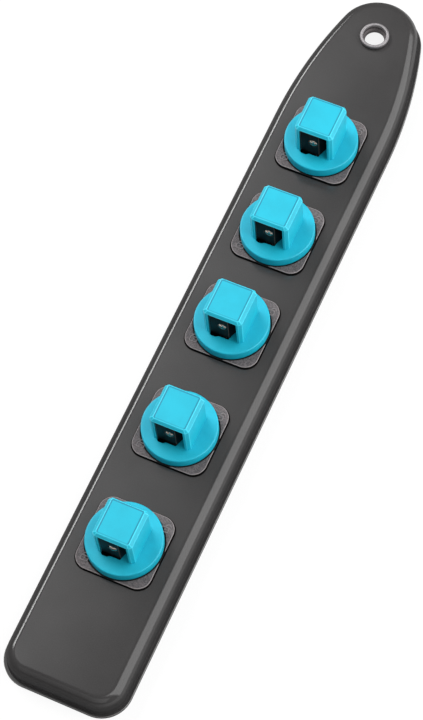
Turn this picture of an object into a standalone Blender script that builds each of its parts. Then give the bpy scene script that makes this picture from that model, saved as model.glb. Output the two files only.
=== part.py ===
"""Socket rail: a formed rail with a hanging eyelet and five twist-lock socket holders.

Metres, +Z up. X runs across the rail, Y along it towards the hanging hole. The origin is on
the bench, at the middle of the rail's length and width.
"""
import math

import bmesh
import bpy
from mathutils import Matrix

# Fits and finish
SEAT_GAP = 0.0003             # between pieces that touch
SLIDE_GAP = 0.0003            # between pieces that run past each other
CUT_OVERRUN = 0.001           # how far a cutter passes the face it cuts
WELD_DISTANCE = 0.000003
SMOOTH_ANGLE = math.radians(35)

# Sizes that the others follow, outward from the hood that a half inch drive fits
HOOD_WIDTH = 0.0126
DISC_BEYOND_HOOD = 0.0052
HUB_INSIDE_DISC = 0.0003
PLATE_BEYOND_DISC = 0.00035
RAIL_BEYOND_PLATE = 0.00805

# Rail shell
RAIL_LENGTH = 0.2522
RAIL_HEIGHT = 0.0085
SHELL_WALL = 0.0012
FLANGE_WIDTH = 0.0009
FLANGE_THICKNESS = 0.0010
FLANGE_EDGE_BREAK = 0.0002
WALL_LEAN = 0.0004            # how far the side wall leans in from its foot to the shoulder
SHOULDER_RADIUS = 0.0031
END_CORNER_RADIUS = 0.0092
HEAD_SIDE_RADIUS = 0.1485     # long arcs that narrow the head
HEAD_TIP_RADIUS = 0.0144
CORNER_STEPS = 7
HEAD_SIDE_STEPS = 7
HEAD_TIP_STEPS = 11
SHOULDER_STEPS = 4

# Back cover, flush inside the flange, and its countersunk screws
COVER_THICKNESS = 0.0010
COVER_SCREW_FROM_SIDE = 0.0064
COVER_SCREW_FROM_END = 0.0150
COVER_SCREW_RADIUS = 0.0009
COVER_SCREW_HEAD_RADIUS = 0.0017
COVER_SCREW_HEAD_HEIGHT = 0.0007
COVER_SCREW_LENGTH = 0.0052
COVER_SCREW_SUNK = 0.0001     # head below the cover's outer face
COVER_SOCKET_RADIUS = 0.0008
COVER_SOCKET_DEPTH = 0.0005
SCREW_BOSS_RADIUS = 0.0026

# Hanging eyelet
EYELET_FROM_TIP = 0.0162
EYELET_RIM_RADIUS = 0.0047
EYELET_BARREL_RADIUS = 0.0042
EYELET_BORE_RADIUS = 0.00365
EYELET_THROAT_RADIUS = 0.00345
EYELET_THROAT_DROP = 0.0008   # step in the bore below the rail's top face
EYELET_PROUD = 0.0015         # top of the rolled rim above the rail
EYELET_FOOT_RADIUS = 0.0053
EYELET_FOOT_THICKNESS = 0.0006
EYELET_WELL_RADIUS = 0.0080   # open well under the eyelet, wider than a slanting hook needs
EYELET_BOSS_WALL = 0.0012     # round the well
RIM_ROUND_STEPS = 5

# Places of the holders as shares of the rail's length, counted from the tip
HOLDER_PLACE_SHARES = (0.23553, 0.36994, 0.50555, 0.65464, 0.80690)

# Base plate with its hub, which drops through the shell
PLATE_CORNER_RADIUS = 0.0042
PLATE_PAD_THICKNESS = 0.0007
PLATE_EDGE_BREAK = 0.0002
POCKET_DEPTH = 0.0005
POCKET_GAP = 0.0005           # round the disc, so that the pocket runs out at the plate's sides
PLATE_CORNER_STEPS = 5
HUB_WALL = 0.0018
HUB_ABOVE_BENCH = 0.0032
HUB_FLOOR = 0.0028
CAM_GROOVE_DEPTH = 0.0016
CAM_STEPS = 18
TURN_LIMIT = math.radians(180)

# Ring nut under the shell
NUT_WALL = 0.0024
NUT_HEIGHT = 0.0024
NUT_NOTCHES = 6
NUT_NOTCH_WIDTH = 0.0030
NUT_NOTCH_DEPTH = 0.0010

# Twist cap: disc, hood, sleeve and pivot boss in one moulding
DISC_THICKNESS = 0.00355
DISC_EDGE_RADIUS = 0.0005
DISC_EDGE_STEPS = 3
DISC_RIM_WALL = 0.0012
DISC_WEB = 0.0016
SLEEVE_WALL = 0.0011
SLEEVE_ABOVE_FLOOR = 0.0004
BOSS_RADIUS = 0.0026
HOOD_HEIGHT = 0.0127
HOOD_WALL = 0.00175
HOOD_TOP_WALL = 0.0013
HOOD_EDGE_CUT = 0.0009        # on the upright edges
HOOD_SIDE_CUT = 0.00105       # round the top, at the sides
HOOD_FRONT_CUT = 0.00075      # round the top, at the front
HOOD_BACK_CUT = 0.00045       # round the top, at the back
HOOD_TOP_CUT = 0.0009         # height of the cut round the top
WINDOW_LOBE = 0.0008          # how far the window runs out ahead of the hood
WINDOW_LOBE_RIGHT = -0.0022
WINDOW_LIP = 0.0002
WINDOW_FRONT_RIGHT = 0.0020
WINDOW_BACK_RIGHT = 0.0030
WINDOW_BACK = 0.0028          # back edge, ahead of the axis
ROUND_STEPS = 32

# Locking pawl, which slides in the hood
PAWL_SET_BACK = 0.0002        # front of the pawl behind the front of the hood
PAWL_LENGTH = 0.0056
PAWL_NOSE_RIGHT = 0.0019
PAWL_LEG_WIDTH = 0.0021
PAWL_LEG_DEPTH = 0.0018
PAWL_TRAVEL = 0.0012
FOLLOWER_RADIUS = 0.0008

# Locking ball
BALL_RADIUS = 0.0018
BALL_PROUD = 0.00025          # past the front of the hood when locked
BALL_RINGS = 8
BALL_SEGMENTS = 14

# Pivot screw and washer
SCREW_RADIUS = 0.0013
SCREW_HEAD_RADIUS = 0.0027
SCREW_HEAD_HEIGHT = 0.0009
SCREW_SOCKET_RADIUS = 0.0011
SCREW_SOCKET_DEPTH = 0.0005
SCREW_TIP_BELOW_DISC = 0.0014
WASHER_RADIUS = 0.0036
WASHER_THICKNESS = 0.0004
SMALL_STEPS = 12
HEX_SIDES = 6

# Widths, heights and places that follow from the sizes above
HOOD_HALF = HOOD_WIDTH / 2
DISC_RADIUS = HOOD_HALF + DISC_BEYOND_HOOD
HUB_RADIUS = DISC_RADIUS - HUB_INSIDE_DISC
NUT_RADIUS = HUB_RADIUS + NUT_WALL
PLATE_WIDTH = 2 * (DISC_RADIUS + PLATE_BEYOND_DISC)
RAIL_WIDTH = PLATE_WIDTH + 2 * RAIL_BEYOND_PLATE
COVER_SCREW_SIDE = RAIL_WIDTH / 2 - COVER_SCREW_FROM_SIDE
CAVITY_TOP = RAIL_HEIGHT - SHELL_WALL
PLATE_BOTTOM = RAIL_HEIGHT + SEAT_GAP
PLATE_TOP = PLATE_BOTTOM + PLATE_PAD_THICKNESS
POCKET_FLOOR = PLATE_TOP - POCKET_DEPTH
HUB_FLOOR_TOP = HUB_ABOVE_BENCH + HUB_FLOOR
HUB_INNER_RADIUS = HUB_RADIUS - HUB_WALL
DISC_BOTTOM = POCKET_FLOOR + SLIDE_GAP
DISC_TOP = DISC_BOTTOM + DISC_THICKNESS
WEB_BOTTOM = DISC_TOP - DISC_WEB
HOOD_TOP = DISC_TOP + HOOD_HEIGHT
HOOD_CEILING = HOOD_TOP - HOOD_TOP_WALL
HOOD_INNER_HALF = HOOD_HALF - HOOD_WALL
PAWL_FRONT = -(HOOD_HALF - PAWL_SET_BACK)
FOLLOWER_ORBIT = HOOD_HALF - PAWL_SET_BACK - PAWL_LEG_DEPTH / 2
BALL_PLACE = -(HOOD_HALF + BALL_PROUD - BALL_RADIUS)
BALL_HEIGHT = DISC_TOP + HOOD_HEIGHT / 2
TIP_Y = RAIL_LENGTH / 2
EYELET_Y = TIP_Y - EYELET_FROM_TIP
EYELET_FOOT_TOP = RAIL_HEIGHT - SHELL_WALL - SEAT_GAP
COVER_BOSS_BOTTOM = COVER_THICKNESS + SEAT_GAP


def clear_scene():
    """Empty the scene of every object."""
    for old in list(bpy.data.objects):
        bpy.data.objects.remove(old, do_unlink=True)


def material(name, colour, metallic, roughness):
    """Principled material with one colour."""
    made = bpy.data.materials.new(name)
    made.use_nodes = True
    shader = made.node_tree.nodes["Principled BSDF"]
    shader.inputs["Base Color"].default_value = (*colour, 1.0)
    shader.inputs["Metallic"].default_value = metallic
    shader.inputs["Roughness"].default_value = roughness
    return made


def to_object(name, bm):
    """Turn a bmesh into a linked object with its faces outward."""
    bmesh.ops.recalc_face_normals(bm, faces=bm.faces)
    mesh = bpy.data.meshes.new(name)
    bm.to_mesh(mesh)
    bm.free()
    made = bpy.data.objects.new(name, mesh)
    bpy.context.collection.objects.link(made)
    return made


def combine(body, others, operation):
    """Boolean a list of shapes with a body and keep the result as the body's mesh."""
    for other in others:
        cut = body.modifiers.new("boolean", "BOOLEAN")
        cut.operation = operation
        cut.solver = "EXACT"
        cut.object = other
    bpy.context.view_layer.update()
    graph = bpy.context.evaluated_depsgraph_get()
    mesh = bpy.data.meshes.new_from_object(body.evaluated_get(graph), depsgraph=graph)
    body.modifiers.clear()
    body.data = mesh
    for other in others:
        bpy.data.objects.remove(other, do_unlink=True)
    return body


def finish(body, surface):
    """Give a body its one material and smooth shading on its round faces."""
    body.data.materials.clear()
    body.data.materials.append(surface)
    body.data.shade_smooth()
    body.data.set_sharp_from_angle(angle=SMOOTH_ANGLE)
    return body


def arc(centre, radius, start, end, steps):
    """Points on an arc, both ends included."""
    points = []
    for step in range(steps + 1):
        angle = start + (end - start) * step / steps
        points.append((centre[0] + radius * math.cos(angle), centre[1] + radius * math.sin(angle)))
    return points


def circle(radius, steps, centre=(0, 0)):
    """Points round a full circle."""
    return arc(centre, radius, 0, 2 * math.pi, steps)[:-1]


def rounded_square(width, corner, steps):
    """Square with round corners, centred on the axis."""
    half = width / 2 - corner
    points = []
    for quarter, (side_x, side_y) in enumerate(((1, 1), (-1, 1), (-1, -1), (1, -1))):
        start = quarter * math.pi / 2
        points += arc((side_x * half, side_y * half), corner, start, start + math.pi / 2, steps)
    return points


def cut_rectangle(half_x, half_y, cut):
    """Rectangle with its corners cut off, centred on the axis."""
    return [(half_x - cut, -half_y), (half_x, -half_y + cut), (half_x, half_y - cut), (half_x - cut, half_y),
            (-half_x + cut, half_y), (-half_x, half_y - cut), (-half_x, -half_y + cut), (-half_x + cut, -half_y)]


def rail_outline(inset):
    """Outline of the rail seen from above, moved inward, counter-clockwise from the near end."""
    half = RAIL_WIDTH / 2 - inset
    near = -RAIL_LENGTH / 2 + inset
    corner = END_CORNER_RADIUS - inset
    side = HEAD_SIDE_RADIUS - inset
    tip = HEAD_TIP_RADIUS - inset
    side_x = half - side
    tip_y = TIP_Y - HEAD_TIP_RADIUS
    rise = math.sqrt((side - tip) ** 2 - side_x ** 2)
    turn = math.atan2(rise, -side_x)
    right = arc((half - corner, near + corner), corner, -math.pi / 2, 0, CORNER_STEPS)
    right += arc((side_x, tip_y - rise), side, 0, turn, HEAD_SIDE_STEPS)
    right += arc((0, tip_y), tip, turn, math.pi / 2, HEAD_TIP_STEPS)[1:]
    left = [(-x, y) for x, y in reversed(right[:-1])]
    return right + left


def loft(rings):
    """Closed solid through rings of equal count, each given as points and a height."""
    bm = bmesh.new()
    loops = []
    for points, height in rings:
        loops.append([bm.verts.new((x, y, height)) for x, y in points])
    count = len(loops[0])
    for low, high in zip(loops, loops[1:]):
        for i in range(count):
            j = (i + 1) % count
            bm.faces.new((low[i], low[j], high[j], high[i]))
    bm.faces.new(list(reversed(loops[0])))
    bm.faces.new(loops[-1])
    return bm


def prism(points, low, high):
    """Straight solid between two heights."""
    return loft(((points, low), (points, high)))


def box(low, high):
    """Box between two corners."""
    points = [(low[0], low[1]), (high[0], low[1]), (high[0], high[1]), (low[0], high[1])]
    return prism(points, low[2], high[2])


def lathe(profile, steps):
    """Closed ring or solid turned about the vertical axis from (radius, height) points."""
    bm = bmesh.new()
    verts = [bm.verts.new((radius, 0, height)) for radius, height in profile]
    edges = [bm.edges.new((verts[i], verts[(i + 1) % len(verts)])) for i in range(len(verts))]
    bmesh.ops.spin(bm, geom=verts + edges, cent=(0, 0, 0), axis=(0, 0, 1), dvec=(0, 0, 0),
                   angle=2 * math.pi, steps=steps, use_merge=True, use_duplicate=False)
    bmesh.ops.remove_doubles(bm, verts=bm.verts, dist=WELD_DISTANCE)
    bmesh.ops.dissolve_degenerate(bm, dist=WELD_DISTANCE, edges=bm.edges)
    return bm


def move(bm, vector):
    """Shift a whole bmesh."""
    bmesh.ops.translate(bm, verts=bm.verts, vec=vector)
    return bm


def holder_places():
    """Y of each holder's axis, from the head of the rail to its near end."""
    return [TIP_Y - RAIL_LENGTH * share for share in HOLDER_PLACE_SHARES]


def cover_screw_places(holders):
    """Cover screws in pairs: between holders near the head and the middle, and at the near end."""
    stations = [(holders[0] + holders[1]) / 2, (holders[2] + holders[3]) / 2, -TIP_Y + COVER_SCREW_FROM_END]
    return [(side * COVER_SCREW_SIDE, y) for y in stations for side in (-1, 1)]


def wall_rings(inset, top, corner_drop):
    """Rings of the leaning side wall and the round shoulder, from the flange up."""
    rings = []
    for step in range(SHOULDER_STEPS + 1):
        angle = math.pi / 2 * step / SHOULDER_STEPS
        run = WALL_LEAN + SHOULDER_RADIUS * (1 - math.cos(angle))
        rings.append((rail_outline(inset + run), top - corner_drop * (1 - math.sin(angle))))
    return rings


def make_rail_shell(surface, holders):
    """Hollow rail, open underneath, with a narrow flange, screw bosses and the eyelet's boss."""
    outer = [(rail_outline(0), 0),
             (rail_outline(0), FLANGE_THICKNESS - FLANGE_EDGE_BREAK),
             (rail_outline(FLANGE_EDGE_BREAK), FLANGE_THICKNESS),
             (rail_outline(FLANGE_WIDTH), FLANGE_THICKNESS)]
    outer += wall_rings(FLANGE_WIDTH, RAIL_HEIGHT, SHOULDER_RADIUS)
    body = to_object("rail_shell", loft(outer))
    inner = [(rail_outline(FLANGE_WIDTH + SHELL_WALL), -CUT_OVERRUN),
             (rail_outline(FLANGE_WIDTH + SHELL_WALL), FLANGE_THICKNESS)]
    inner += wall_rings(FLANGE_WIDTH + SHELL_WALL, CAVITY_TOP, SHOULDER_RADIUS - SHELL_WALL / 2)
    combine(body, [to_object("cavity_cutter", loft(inner))], "DIFFERENCE")
    rooted = CAVITY_TOP + SHELL_WALL / 2
    bosses = []
    for place in cover_screw_places(holders):
        ring = circle(SCREW_BOSS_RADIUS, SMALL_STEPS, place)
        bosses.append(to_object("screw_boss", prism(ring, COVER_BOSS_BOTTOM, rooted)))
    ring = circle(EYELET_WELL_RADIUS + EYELET_BOSS_WALL, ROUND_STEPS, (0, EYELET_Y))
    bosses.append(to_object("eyelet_boss", prism(ring, COVER_BOSS_BOTTOM, rooted)))
    combine(body, bosses, "UNION")
    over_top = RAIL_HEIGHT + CUT_OVERRUN
    cutters = []
    for y in holders:
        ring = circle(HUB_RADIUS + SEAT_GAP, ROUND_STEPS, (0, y))
        cutters.append(to_object("hub_cutter", prism(ring, CAVITY_TOP - CUT_OVERRUN, over_top)))
    for place in cover_screw_places(holders):
        ring = circle(COVER_SCREW_RADIUS + SEAT_GAP, SMALL_STEPS, place)
        top = COVER_SCREW_SUNK + COVER_SCREW_LENGTH + SEAT_GAP
        cutters.append(to_object("screw_cutter", prism(ring, 0, top)))
    ring = circle(EYELET_BARREL_RADIUS + SEAT_GAP, ROUND_STEPS, (0, EYELET_Y))
    cutters.append(to_object("eyelet_cutter", prism(ring, 0, over_top)))
    ring = circle(EYELET_WELL_RADIUS, ROUND_STEPS, (0, EYELET_Y))
    cutters.append(to_object("well_cutter", prism(ring, 0, CAVITY_TOP)))
    combine(body, cutters, "DIFFERENCE")
    return finish(body, surface)


def cover_screw_profile(gap, low, high):
    """Countersunk screw from its head up, or the hole for it when a gap is given."""
    head_low = COVER_SCREW_SUNK
    head_high = COVER_SCREW_SUNK + COVER_SCREW_HEAD_HEIGHT
    return [(0, low), (COVER_SCREW_HEAD_RADIUS + gap, low), (COVER_SCREW_HEAD_RADIUS + gap, head_low + gap / 2),
            (COVER_SCREW_RADIUS + gap, head_high), (COVER_SCREW_RADIUS + gap, high), (0, high)]


def make_back_cover(surface, holders):
    """Flat plate flush in the shell's open back, with countersunk holes and the eyelet's hole."""
    edge = rail_outline(FLANGE_WIDTH + SHELL_WALL + SEAT_GAP)
    body = to_object("back_cover", prism(edge, 0, COVER_THICKNESS))
    cutters = []
    for x, y in cover_screw_places(holders):
        hole = lathe(cover_screw_profile(SEAT_GAP, -CUT_OVERRUN, COVER_THICKNESS + CUT_OVERRUN), SMALL_STEPS)
        cutters.append(to_object("screw_cutter", move(hole, (x, y, 0))))
    ring = circle(EYELET_WELL_RADIUS, ROUND_STEPS, (0, EYELET_Y))
    cutters.append(to_object("eyelet_cutter", prism(ring, -CUT_OVERRUN, COVER_THICKNESS + CUT_OVERRUN)))
    combine(body, cutters, "DIFFERENCE")
    return finish(body, surface)


def make_cover_screw(surface):
    """Countersunk screw with a hexagon socket."""
    tip = COVER_SCREW_SUNK + COVER_SCREW_LENGTH
    profile = cover_screw_profile(0, COVER_SCREW_SUNK, tip)
    profile.pop(2)
    body = to_object("cover_screw", lathe(profile, SMALL_STEPS))
    socket = circle(COVER_SOCKET_RADIUS, HEX_SIDES)
    low = COVER_SCREW_SUNK - CUT_OVERRUN
    high = COVER_SCREW_SUNK + COVER_SOCKET_DEPTH
    combine(body, [to_object("socket_cutter", prism(socket, low, high))], "DIFFERENCE")
    return finish(body, surface)


def make_eyelet(surface):
    """Pressed eyelet with a rolled rim, a stepped bore and a foot flared out under the shell's top wall."""
    rim_bottom = RAIL_HEIGHT + SEAT_GAP
    rim_top = RAIL_HEIGHT + EYELET_PROUD
    rim_half = (EYELET_RIM_RADIUS - EYELET_BORE_RADIUS) / 2
    foot_top = EYELET_FOOT_TOP
    foot_bottom = foot_top - EYELET_FOOT_THICKNESS
    step_top = RAIL_HEIGHT - EYELET_THROAT_DROP
    step_bottom = step_top - (EYELET_BORE_RADIUS - EYELET_THROAT_RADIUS)
    profile = [(EYELET_BARREL_RADIUS, rim_bottom), (EYELET_RIM_RADIUS, rim_bottom)]
    profile += arc((EYELET_BORE_RADIUS + rim_half, rim_top - rim_half), rim_half, 0, math.pi, RIM_ROUND_STEPS)
    profile += [(EYELET_BORE_RADIUS, step_top), (EYELET_THROAT_RADIUS, step_bottom),
                (EYELET_THROAT_RADIUS, foot_bottom), (EYELET_FOOT_RADIUS, foot_bottom),
                (EYELET_FOOT_RADIUS, foot_top), (EYELET_BARREL_RADIUS, foot_top)]
    eyelet = finish(to_object("hanging_eyelet", lathe(profile, ROUND_STEPS)), surface)
    eyelet.location = (0, EYELET_Y, 0)
    return eyelet


def cam_groove():
    """Cutter for the spiral groove in the hub's floor that the pawl's follower runs in."""
    half = FOLLOWER_RADIUS + SLIDE_GAP
    outer = []
    inner = []
    for step in range(CAM_STEPS + 1):
        share = step / CAM_STEPS
        angle = -math.pi / 2 + TURN_LIMIT * share
        orbit = FOLLOWER_ORBIT - PAWL_TRAVEL * share
        outer.append(((orbit + half) * math.cos(angle), (orbit + half) * math.sin(angle)))
        inner.append(((orbit - half) * math.cos(angle), (orbit - half) * math.sin(angle)))
    last_angle = -math.pi / 2 + TURN_LIMIT
    last_orbit = FOLLOWER_ORBIT - PAWL_TRAVEL
    last = (last_orbit * math.cos(last_angle), last_orbit * math.sin(last_angle))
    near_end = arc((0, -FOLLOWER_ORBIT), half, math.pi / 2, 3 * math.pi / 2, SMALL_STEPS // 2)[1:-1]
    far_end = arc(last, half, last_angle, last_angle + math.pi, SMALL_STEPS // 2)[1:-1]
    points = near_end + outer + far_end + inner[::-1]
    low = HUB_FLOOR_TOP - CAM_GROOVE_DEPTH
    return to_object("groove_cutter", prism(points, low, HUB_FLOOR_TOP + CUT_OVERRUN))


def make_base_plate(surface):
    """Square plate with raised corner pads and a hub with the cam groove in its floor."""
    square = rounded_square(PLATE_WIDTH, PLATE_CORNER_RADIUS, PLATE_CORNER_STEPS)
    inner = rounded_square(PLATE_WIDTH - 2 * PLATE_EDGE_BREAK, PLATE_CORNER_RADIUS - PLATE_EDGE_BREAK,
                           PLATE_CORNER_STEPS)
    plate = loft(((square, PLATE_BOTTOM), (square, PLATE_TOP - PLATE_EDGE_BREAK), (inner, PLATE_TOP)))
    body = to_object("base_plate", plate)
    rooted = (PLATE_BOTTOM + POCKET_FLOOR) / 2
    hub = prism(circle(HUB_RADIUS, ROUND_STEPS), HUB_ABOVE_BENCH, rooted)
    combine(body, [to_object("hub", hub)], "UNION")
    over_top = PLATE_TOP + CUT_OVERRUN
    pocket = prism(circle(DISC_RADIUS + POCKET_GAP, ROUND_STEPS), POCKET_FLOOR, over_top)
    cup = prism(circle(HUB_INNER_RADIUS, ROUND_STEPS), HUB_FLOOR_TOP, over_top)
    screw = prism(circle(SCREW_RADIUS + SLIDE_GAP, SMALL_STEPS), 0, over_top)
    cutters = [to_object("pocket_cutter", pocket), to_object("cup_cutter", cup),
               to_object("screw_cutter", screw), cam_groove()]
    combine(body, cutters, "DIFFERENCE")
    return finish(body, surface)


def make_hub_nut(surface):
    """Ring nut with spanner notches that clamps the hub under the shell."""
    top = CAVITY_TOP - SEAT_GAP
    bottom = top - NUT_HEIGHT
    body = to_object("hub_nut", prism(circle(NUT_RADIUS, ROUND_STEPS), bottom, top))
    bore = prism(circle(HUB_RADIUS + SEAT_GAP, ROUND_STEPS), bottom - CUT_OVERRUN, top + CUT_OVERRUN)
    cutters = [to_object("bore_cutter", bore)]
    low = (NUT_RADIUS - NUT_NOTCH_DEPTH, -NUT_NOTCH_WIDTH / 2, bottom - CUT_OVERRUN)
    high = (NUT_RADIUS + CUT_OVERRUN, NUT_NOTCH_WIDTH / 2, top + CUT_OVERRUN)
    for notch in range(NUT_NOTCHES):
        cut = box(low, high)
        turn = Matrix.Rotation(2 * math.pi * (notch + 0.5) / NUT_NOTCHES, 3, "Z")
        bmesh.ops.rotate(cut, verts=cut.verts, cent=(0, 0, 0), matrix=turn)
        cutters.append(to_object("notch_cutter", cut))
    combine(body, cutters, "DIFFERENCE")
    return finish(body, surface)


def hood_block():
    """Square hood with cut upright edges and a cut round its top."""
    low = DISC_TOP - DISC_WEB / 2
    full = cut_rectangle(HOOD_HALF, HOOD_HALF, HOOD_EDGE_CUT)
    depth = HOOD_HALF - (HOOD_FRONT_CUT + HOOD_BACK_CUT) / 2
    shift = (HOOD_FRONT_CUT - HOOD_BACK_CUT) / 2
    small = [(x, y + shift) for x, y in cut_rectangle(HOOD_HALF - HOOD_SIDE_CUT, depth, HOOD_EDGE_CUT / 2)]
    return loft(((full, low), (full, HOOD_TOP - HOOD_TOP_CUT), (small, HOOD_TOP)))


def window_outline():
    """Window in the disc that the pawl's leg passes through, with a lobe ahead of the hood."""
    front = -HOOD_HALF - WINDOW_LIP
    lobe_front = -HOOD_HALF - WINDOW_LOBE
    return [(-HOOD_INNER_HALF, -WINDOW_BACK),
            (-HOOD_INNER_HALF, -HOOD_HALF),
            (-HOOD_INNER_HALF + WINDOW_LOBE, lobe_front),
            (WINDOW_LOBE_RIGHT, lobe_front),
            (WINDOW_LOBE_RIGHT + WINDOW_LOBE, front),
            (WINDOW_FRONT_RIGHT - WINDOW_LIP, front),
            (WINDOW_FRONT_RIGHT, front + WINDOW_LOBE),
            (WINDOW_BACK_RIGHT, -WINDOW_BACK)]


def make_twist_cap(surface):
    """Disc with a hollow underside, a hood open at the front, a sleeve and a pivot boss."""
    edge = DISC_EDGE_RADIUS
    rim_inner = DISC_RADIUS - DISC_RIM_WALL
    sleeve_outer = HUB_INNER_RADIUS - SLIDE_GAP
    sleeve_inner = sleeve_outer - SLEEVE_WALL
    sleeve_bottom = HUB_FLOOR_TOP + SLEEVE_ABOVE_FLOOR
    bore = SCREW_RADIUS + SEAT_GAP
    bore_top = DISC_TOP - SCREW_TIP_BELOW_DISC + SEAT_GAP
    profile = [(0, bore_top), (0, DISC_TOP)]
    profile += arc((DISC_RADIUS - edge, DISC_TOP - edge), edge, math.pi / 2, 0, DISC_EDGE_STEPS)
    profile += [(DISC_RADIUS, DISC_BOTTOM), (rim_inner, DISC_BOTTOM), (rim_inner, WEB_BOTTOM),
                (sleeve_outer, WEB_BOTTOM), (sleeve_outer, sleeve_bottom), (sleeve_inner, sleeve_bottom),
                (sleeve_inner, WEB_BOTTOM), (BOSS_RADIUS, WEB_BOTTOM), (BOSS_RADIUS, sleeve_bottom),
                (bore, sleeve_bottom), (bore, bore_top)]
    body = to_object("twist_cap", lathe(profile, ROUND_STEPS))
    combine(body, [to_object("hood", hood_block())], "UNION")
    room = box((-HOOD_INNER_HALF, -HOOD_HALF - CUT_OVERRUN, DISC_TOP),
               (HOOD_INNER_HALF, HOOD_INNER_HALF, HOOD_CEILING))
    window = prism(window_outline(), WEB_BOTTOM - CUT_OVERRUN, DISC_TOP + CUT_OVERRUN)
    combine(body, [to_object("room_cutter", room), to_object("window_cutter", window)], "DIFFERENCE")
    return finish(body, surface)


def make_lock_pawl(surface):
    """Pawl with a tapering nose, a leg through the disc, a follower and a seat for the ball."""
    back = PAWL_FRONT + PAWL_LENGTH
    wide = HOOD_INNER_HALF - SLIDE_GAP
    low = DISC_TOP + SLIDE_GAP
    plan = [(-wide, PAWL_FRONT), (PAWL_NOSE_RIGHT, PAWL_FRONT), (wide, back), (-wide, back)]
    body = to_object("lock_pawl", prism(plan, low, HOOD_CEILING - SLIDE_GAP))
    leg_half = PAWL_LEG_WIDTH / 2
    leg_low = HUB_FLOOR_TOP + SLIDE_GAP
    leg = box((-leg_half, PAWL_FRONT, leg_low), (leg_half, PAWL_FRONT + PAWL_LEG_DEPTH, low + leg_half))
    follower = circle(FOLLOWER_RADIUS, SMALL_STEPS, (0, -FOLLOWER_ORBIT))
    follower_low = HUB_FLOOR_TOP - CAM_GROOVE_DEPTH + SLIDE_GAP
    pin = prism(follower, follower_low, leg_low + FOLLOWER_RADIUS)
    combine(body, [to_object("leg", leg), to_object("follower", pin)], "UNION")
    seat_radius = BALL_RADIUS + SEAT_GAP
    seat = prism(circle(seat_radius, BALL_SEGMENTS), BALL_PLACE - seat_radius, BALL_PLACE + seat_radius)
    bmesh.ops.rotate(seat, verts=seat.verts, cent=(0, 0, 0), matrix=Matrix.Rotation(-math.pi / 2, 3, "X"))
    combine(body, [to_object("seat_cutter", move(seat, (0, 0, BALL_HEIGHT)))], "DIFFERENCE")
    return finish(body, surface)


def make_lock_ball(surface):
    """Hard steel ball held in the front of the pawl."""
    bm = bmesh.new()
    bmesh.ops.create_uvsphere(bm, u_segments=BALL_SEGMENTS, v_segments=BALL_RINGS, radius=BALL_RADIUS)
    return finish(to_object("lock_ball", move(bm, (0, BALL_PLACE, BALL_HEIGHT))), surface)


def make_pivot_screw(surface):
    """Pan head screw from below into the cap's boss, with a hexagon socket."""
    head_top = HUB_ABOVE_BENCH - SEAT_GAP - WASHER_THICKNESS - SEAT_GAP
    head_bottom = head_top - SCREW_HEAD_HEIGHT
    tip = DISC_TOP - SCREW_TIP_BELOW_DISC
    edge = SCREW_HEAD_HEIGHT / 4
    profile = [(0, head_bottom), (SCREW_HEAD_RADIUS - edge, head_bottom), (SCREW_HEAD_RADIUS, head_bottom + edge),
               (SCREW_HEAD_RADIUS, head_top), (SCREW_RADIUS, head_top),
               (SCREW_RADIUS, tip - edge), (SCREW_RADIUS - edge, tip), (0, tip)]
    body = to_object("pivot_screw", lathe(profile, SMALL_STEPS))
    socket = circle(SCREW_SOCKET_RADIUS, HEX_SIDES)
    cutter = prism(socket, head_bottom - CUT_OVERRUN, head_bottom + SCREW_SOCKET_DEPTH)
    combine(body, [to_object("socket_cutter", cutter)], "DIFFERENCE")
    return finish(body, surface)


def make_pivot_washer(surface):
    """Plain washer between the screw's head and the hub's floor."""
    top = HUB_ABOVE_BENCH - SEAT_GAP
    bottom = top - WASHER_THICKNESS
    bore = SCREW_RADIUS + SEAT_GAP
    profile = [(bore, bottom), (WASHER_RADIUS, bottom), (WASHER_RADIUS, top), (bore, top)]
    return finish(to_object("pivot_washer", lathe(profile, SMALL_STEPS)), surface)


def place_copies(master, places):
    """Numbered copies of a piece, each its own object, in place of the master."""
    for number, place in enumerate(places, start=1):
        copy = bpy.data.objects.new(f"{master.name}_{number}", master.data)
        copy.location = (*place, 0)
        bpy.context.collection.objects.link(copy)
    bpy.data.objects.remove(master, do_unlink=True)


def build():
    """Make every piece, with one set of holder pieces at each holder's place."""
    clear_scene()
    rail_black = material("rail_charcoal", (0.075, 0.075, 0.078), 0.0, 0.38)
    cover_black = material("cover_black", (0.035, 0.035, 0.036), 0.0, 0.55)
    plate_grey = material("plate_dark_grey", (0.11, 0.105, 0.105), 0.0, 0.55)
    cap_teal = material("cap_turquoise", (0.02, 0.52, 0.66), 0.0, 0.42)
    pawl_black = material("pawl_black", (0.012, 0.012, 0.013), 0.0, 0.5)
    nut_black = material("nut_black", (0.03, 0.03, 0.03), 0.0, 0.6)
    ball_steel = material("ball_steel", (0.72, 0.71, 0.7), 1.0, 0.12)
    screw_steel = material("screw_zinc", (0.6, 0.6, 0.58), 1.0, 0.3)
    eyelet_nickel = material("eyelet_nickel", (0.42, 0.41, 0.42), 1.0, 0.35)
    holders = holder_places()
    make_rail_shell(rail_black, holders)
    make_back_cover(cover_black, holders)
    make_eyelet(eyelet_nickel)
    place_copies(make_cover_screw(screw_steel), cover_screw_places(holders))
    holder_pieces = [make_base_plate(plate_grey), make_hub_nut(nut_black), make_twist_cap(cap_teal),
                     make_lock_pawl(pawl_black), make_lock_ball(ball_steel),
                     make_pivot_screw(screw_steel), make_pivot_washer(screw_steel)]
    for piece in holder_pieces:
        place_copies(piece, [(0, y) for y in holders])


build()
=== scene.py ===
import math

import bmesh
import bpy
from mathutils import Matrix, Vector


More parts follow.
